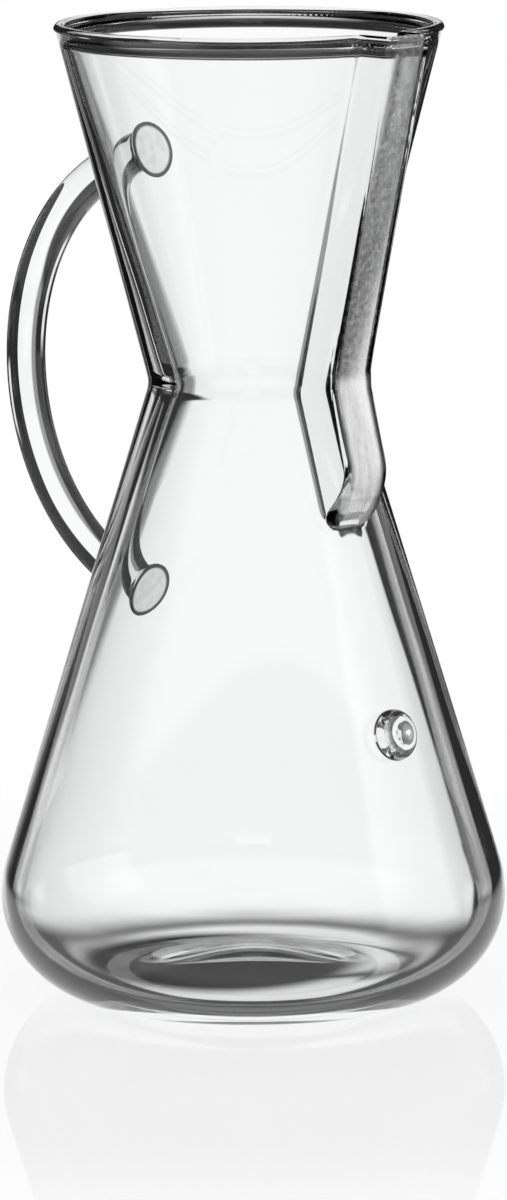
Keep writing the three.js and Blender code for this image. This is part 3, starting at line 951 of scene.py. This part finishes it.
class COFFEE_OT_stage(Operator):
    """Set the white floor, the card, the table, the soft light and the camera at the photograph's angle"""

    bl_idname = "coffee.stage"
    bl_label = "Set Stage"

    def execute(self, context):
        settings = settings_of(context)
        studio = settings["studio"]
        axis = Vector((settings["vessel"].axis_x, 0, 0))
        self.add_camera(context, studio, axis)
        self.add_floor(context, studio, axis)
        self.add_card(context, studio, axis)
        self.add_table(context, studio, axis)
        self.light_world(context, studio)
        context.scene.view_settings.view_transform = "Standard"
        return {"FINISHED"}

    def add_camera(self, context, studio, axis):
        """Stand the camera where the photograph was taken."""
        lens = bpy.data.cameras.new("camera")
        lens.sensor_fit = "VERTICAL"
        lens.lens = lens.sensor_height * studio.focal_pixels / PHOTO_HEIGHT
        camera = bpy.data.objects.new("camera", lens)
        turn = studio.camera_azimuth
        away = Vector((math.sin(turn), -math.cos(turn), 0))
        camera.location = axis + away * studio.camera_distance + Vector((0, 0, studio.camera_height))
        look = Matrix.Rotation(turn - studio.camera_pan, 3, "Z")
        look = look @ Matrix.Rotation(math.pi / 2 - studio.camera_tilt, 3, "X")
        camera.rotation_euler = (look @ Matrix.Rotation(studio.camera_roll, 3, "Z")).to_euler()
        context.scene.collection.objects.link(camera)
        context.scene.camera = camera

    @staticmethod
    def add_sheet(context, name, corners, material):
        """A flat sheet with one face, for the stage."""
        mesh = bpy.data.meshes.new(name)
        mesh.from_pydata(corners, [], [range(len(corners))])
        mesh.materials.append(material)
        sheet = bpy.data.objects.new(name, mesh)
        context.scene.collection.objects.link(sheet)
        return sheet

    def add_floor(self, context, studio, axis):
        """Lay the round floor that takes the object's shadow."""
        turns = np.linspace(0, 2 * math.pi, FLOOR_SIDES + 1)[:-1]
        radius = studio.floor_radius
        corners = [(axis.x + radius * math.cos(turn), radius * math.sin(turn), 0) for turn in turns]
        floor = self.add_sheet(context, "floor", corners, self.floor_material(studio))

    def floor_material(self, studio):
        """White paint that fades out at its edge, and that light bent by the glass passes, apart from a
        painted black shadow under the base.
        """
        material, bench = new_bench("white_floor")
        place = bench.place()
        centre = bench.add("ShaderNodeVectorMath", {"operation": "LENGTH"}, {0: place}).out("Value")
        fade_start, fade_end = FLOOR_FADE
        fade = bench.ease(centre, fade_start * studio.floor_radius, fade_end * studio.floor_radius)
        path = bench.add("ShaderNodeLightPath")
        seen = bench.least(path.out("Is Camera Ray") + path.out("Is Glossy Ray"), 1.0)
        paint = bench.add("ShaderNodeBsdfPrincipled", None, {
            "Base Color": (*studio.floor, 1),
            "Roughness": FLOOR_ROUGHNESS,
            "IOR": FLOOR_IOR,
        })
        white = bench.add("ShaderNodeEmission", None, {"Color": (*studio.floor, 1), "Strength": 1.0})
        sheet = bench.mix(seen * studio.floor_glow, paint, white)
        clear = bench.add("ShaderNodeBsdfTransparent")
        # Painted shadow: light that the glass bends meets black under the base instead of passing the
        # floor.
        painted_shadow = bench.add("ShaderNodeBsdfDiffuse", None, {"Color": (0, 0, 0, 1)})
        under = (1 - bench.ease(centre, *FLOOR_PAINTED_SHADOW)) * path.out("Is Transmission Ray")
        clear = bench.mix(under, clear, painted_shadow)
        hidden = bench.most(fade, path.out("Is Transmission Ray"))
        surface = bench.mix(hidden, sheet, clear)
        bench.add("ShaderNodeOutputMaterial", None, {"Surface": surface})
        return material

    @staticmethod
    def show_white(bench, material, shown):
        """White by a share and clear elsewhere. It lights nothing by itself."""
        white = bench.add("ShaderNodeEmission", None, {"Color": (1, 1, 1, 1), "Strength": WHITE_STRENGTH})
        clear = bench.add("ShaderNodeBsdfTransparent")
        surface = bench.mix(shown, clear, white)
        bench.add("ShaderNodeOutputMaterial", None, {"Surface": surface})
        material.cycles.emission_sampling = "NONE"

    def add_card(self, context, studio, axis):
        """Stand the white card behind the object, square to the camera."""
        turn = studio.camera_azimuth
        left = studio.card_left - CARD_MARGIN
        right = studio.card_right + CARD_MARGIN
        bottom = studio.card_bottom - CARD_MARGIN
        top = studio.card_top + CARD_MARGIN
        corners = [(left, 0, bottom), (right, 0, bottom), (right, 0, top), (left, 0, top)]
        card = self.add_sheet(context, "card", corners, self.card_material(studio))
        card.location = axis + Vector((-math.sin(turn), math.cos(turn), 0)) * studio.card_distance
        card.rotation_euler = (0, 0, turn)

    def card_material(self, studio):
        """White with soft edges and a dim skirt on its left, for light that the glass bends."""
        material, bench = new_bench("white_card")
        place = bench.add("ShaderNodeSeparateXYZ", None, {0: bench.place()})
        x, z = place.out("X"), place.out("Z")
        skirt_left = studio.card_left - studio.card_skirt
        across = bench.within(x, studio.card_left, studio.card_right, CARD_LEFT_SOFT, CARD_RIGHT_SOFT)
        skirt = bench.within(x, skirt_left, studio.card_left, CARD_LEFT_SOFT, CARD_LEFT_SOFT)
        up = bench.within(z, studio.card_bottom, studio.card_top, studio.card_fade, CARD_TOP_SOFT)
        self.show_white(bench, material, (across + skirt * SKIRT_STRENGTH) * up * bench.bent_path())
        return material

    def add_table(self, context, studio, axis):
        """Lay the white table from behind the object to the card, for light that the glass bends."""
        near, far = studio.table_start, studio.card_distance
        left, right = studio.card_left / far, studio.card_right / far
        ends = ((left, near), (right, near), (right, far), (left, far))
        corners = [(lean * run, run, 0) for lean, run in ends]
        material, bench = new_bench("white_table")
        self.show_white(bench, material, bench.bent_path())
        table = self.add_sheet(context, "table", corners, material)
        table.location = axis - Vector((0, 0, MM))
        table.rotation_euler = (0, 0, studio.camera_azimuth)

    def light_world(self, context, studio):
        """White light all round, and for light that the glass bends, a dark room with soft panels."""
        world = bpy.data.worlds.new("studio")
        context.scene.world = world
        world.use_nodes = True
        bench = Bench(world.node_tree)
        way = bench.add("ShaderNodeTexCoord").out("Generated")
        parts = bench.add("ShaderNodeSeparateXYZ", None, {0: way})
        x, y, z = parts.out("X"), parts.out("Y"), parts.out("Z")
        turn = studio.camera_azimuth
        ahead = y * math.cos(turn) - x * math.sin(turn)
        right = x * math.cos(turn) + y * math.sin(turn)
        behind = ahead * -1
        aside = bench.maths("ARCTAN2", right, ahead) * math.degrees(1)
        rise = bench.maths("ARCSINE", z) * math.degrees(1)
        sky = bench.ease(rise, *SKY_RISE) * bench.ease(behind, *SKY_BEHIND)
        ground = (1 - bench.ease(rise, *GROUND_RISE)) * bench.ease(behind, *GROUND_BEHIND)
        lit = sky * SKY_STRENGTH + ground * GROUND_STRENGTH + studio.surround
        for centre, half, low, high, strength in PANELS:
            off = bench.maths("WRAP", aside - centre, 180.0, -180.0)
            wide = bench.within(off, -half, half, PANEL_SOFT, PANEL_SOFT)
            lit = lit + wide * bench.within(rise, low, high, PANEL_SOFT, PANEL_SOFT) * strength
        path = bench.add("ShaderNodeLightPath")
        mirrored = 1 - bench.least(path.out("Transmission Depth"), 1.0)
        mirrored = mirrored * bench.within(aside, -MIRROR_HALF, MIRROR_HALF, PANEL_SOFT, PANEL_SOFT)
        lit = lit + mirrored * bench.within(rise, MIRROR_LOW, MIRROR_HIGH, MIRROR_LOW_SOFT, PANEL_SOFT)
        shown = bench.bent_path()
        background = bench.add("ShaderNodeBackground", None,
                               {"Color": (1, 1, 1, 1), "Strength": shown * lit + (1 - shown)})
        bench.add("ShaderNodeOutputWorld", None, {"Surface": background})


OPERATORS = (COFFEE_OT_vessel, COFFEE_OT_handle, COFFEE_OT_button, COFFEE_OT_stage)


class COFFEE_PT_panel(Panel):
    """Lists the pieces and the stage."""

    bl_label = "Coffee Maker"
    bl_idname = "COFFEE_PT_panel"
    bl_space_type = "VIEW_3D"
    bl_region_type = "UI"
    bl_category = "Coffee Maker"

    def draw(self, context):
        for operator in OPERATORS:
            self.layout.operator(operator.bl_idname)
        for name, group in SETTINGS.items():
            box = self.layout.box()
            for setting in group.__annotations__:
                box.prop(getattr(context.scene, name), setting)


CLASSES = (*SETTINGS.values(), *OPERATORS, COFFEE_PT_panel)


def register():
    """Add the classes and the scene's settings to Blender."""
    for item in CLASSES:
        bpy.utils.register_class(item)
    for name, group in SETTINGS.items():
        setattr(bpy.types.Scene, name, PointerProperty(type=group))


def unregister():
    """Take the settings and the classes out of Blender."""
    for name in SETTINGS:
        delattr(bpy.types.Scene, name)
    for item in reversed(CLASSES):
        bpy.utils.unregister_class(item)


def main():
    """Make every piece and the stage."""
    register()
    for operator in OPERATORS:
        group, name = operator.bl_idname.split(".")
        getattr(getattr(bpy.ops, group), name)()


if __name__ == "__main__":
    main()
